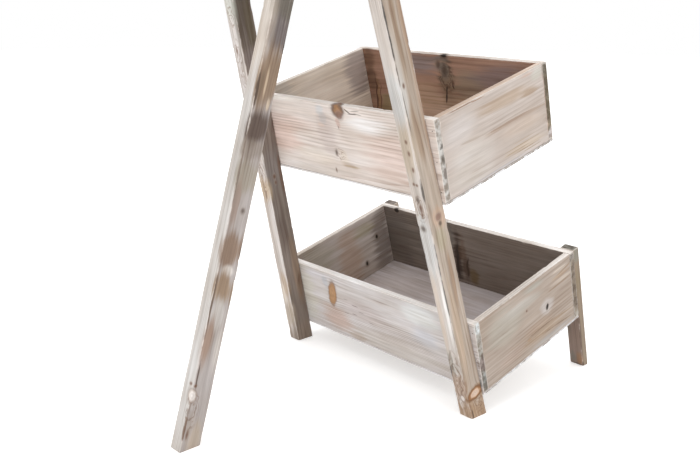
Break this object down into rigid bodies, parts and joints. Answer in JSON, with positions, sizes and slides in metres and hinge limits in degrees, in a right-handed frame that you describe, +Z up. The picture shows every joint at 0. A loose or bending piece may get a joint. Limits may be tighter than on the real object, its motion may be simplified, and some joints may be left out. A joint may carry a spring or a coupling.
{
  "type": "plant ladder stand",
  "caption": "Leaning ladder stand of open planter boxes fixed to two converging rails, with short front legs and a hinged prop leg behind that folds flat; holds potted plants.",
  "frame": {"origin": "on the floor, under the middle of the stand's bounding box", "axes": "+Z up; -Y is the front, which the planter boxes face; +X is to the right of someone who looks at the front"},
  "size_m": [0.5016, 0.799, 0.9534],
  "materials": {
    "pine_rails": "whitewashed and sanded back, matt, grain and knots showing",
    "pine_prop_leg": "whitewashed and sanded back, matt, grain and knots showing",
    "pine_short_legs": "whitewashed and sanded back, matt, grain and knots showing",
    "pine_rear_boards": "whitewashed and sanded back, matt, grain and knots showing",
    "pine_front_boards": "whitewashed and sanded back, matt, grain and knots showing",
    "pine_end_boards": "whitewashed and sanded back, matt, grain and knots showing",
    "plywood_bottoms": "greyed thin plywood, matt",
    "steel_hinge": "zinc plated, dulled",
    "steel_screws": "zinc plated, dulled"
  },
  "bodies": {
    "ladder": {"hinge_fixed_leaf": "steel_hinge", "hinge_fixed_screw_left": "steel_screws", "hinge_fixed_screw_right": "steel_screws", "hinge_pin": "steel_hinge", "lower_bottom_panel": "plywood_bottoms", "lower_end_board_left": "pine_end_boards", "lower_end_board_right": "pine_end_boards", "lower_front_board": "pine_front_boards", "lower_rail_screw_left_high": "steel_screws", "lower_rail_screw_left_low": "steel_screws", "lower_rail_screw_right_high": "steel_screws", "lower_rail_screw_right_low": "steel_screws", "lower_rear_board": "pine_rear_boards", "middle_bottom_panel": "plywood_bottoms", "middle_end_board_left": "pine_end_boards", "middle_end_board_right": "pine_end_boards", "middle_front_board": "pine_front_boards", "middle_rail_screw_left_high": "steel_screws", "middle_rail_screw_left_low": "steel_screws", "middle_rail_screw_right_high": "steel_screws", "middle_rail_screw_right_low": "steel_screws", "middle_rear_board": "pine_rear_boards", "rail_left": "pine_rails", "rail_right": "pine_rails", "short_leg_left": "pine_short_legs", "short_leg_right": "pine_short_legs", "short_leg_screw_left_high": "steel_screws", "short_leg_screw_left_low": "steel_screws", "short_leg_screw_right_high": "steel_screws", "short_leg_screw_right_low": "steel_screws", "top_bottom_panel": "plywood_bottoms", "top_end_board_left": "pine_end_boards", "top_end_board_right": "pine_end_boards", "top_front_board": "pine_front_boards", "top_rail_screw_left_high": "steel_screws", "top_rail_screw_left_low": "steel_screws", "top_rail_screw_right_high": "steel_screws", "top_rail_screw_right_low": "steel_screws", "top_rear_board": "pine_rear_boards"},
    "prop_leg": {"prop_leg": "pine_prop_leg", "hinge_moving_leaf": "steel_hinge", "hinge_moving_screw_left": "steel_screws", "hinge_moving_screw_right": "steel_screws"}
  },
  "joints": [
    {"name": "prop_leg_fold", "type": "hinge", "parent": "ladder", "child": "prop_leg", "pos_m": [0, 0.13049, 0.77797], "axis": [-1, 0, 0], "range_deg": [0, 31.2]}
  ]
}
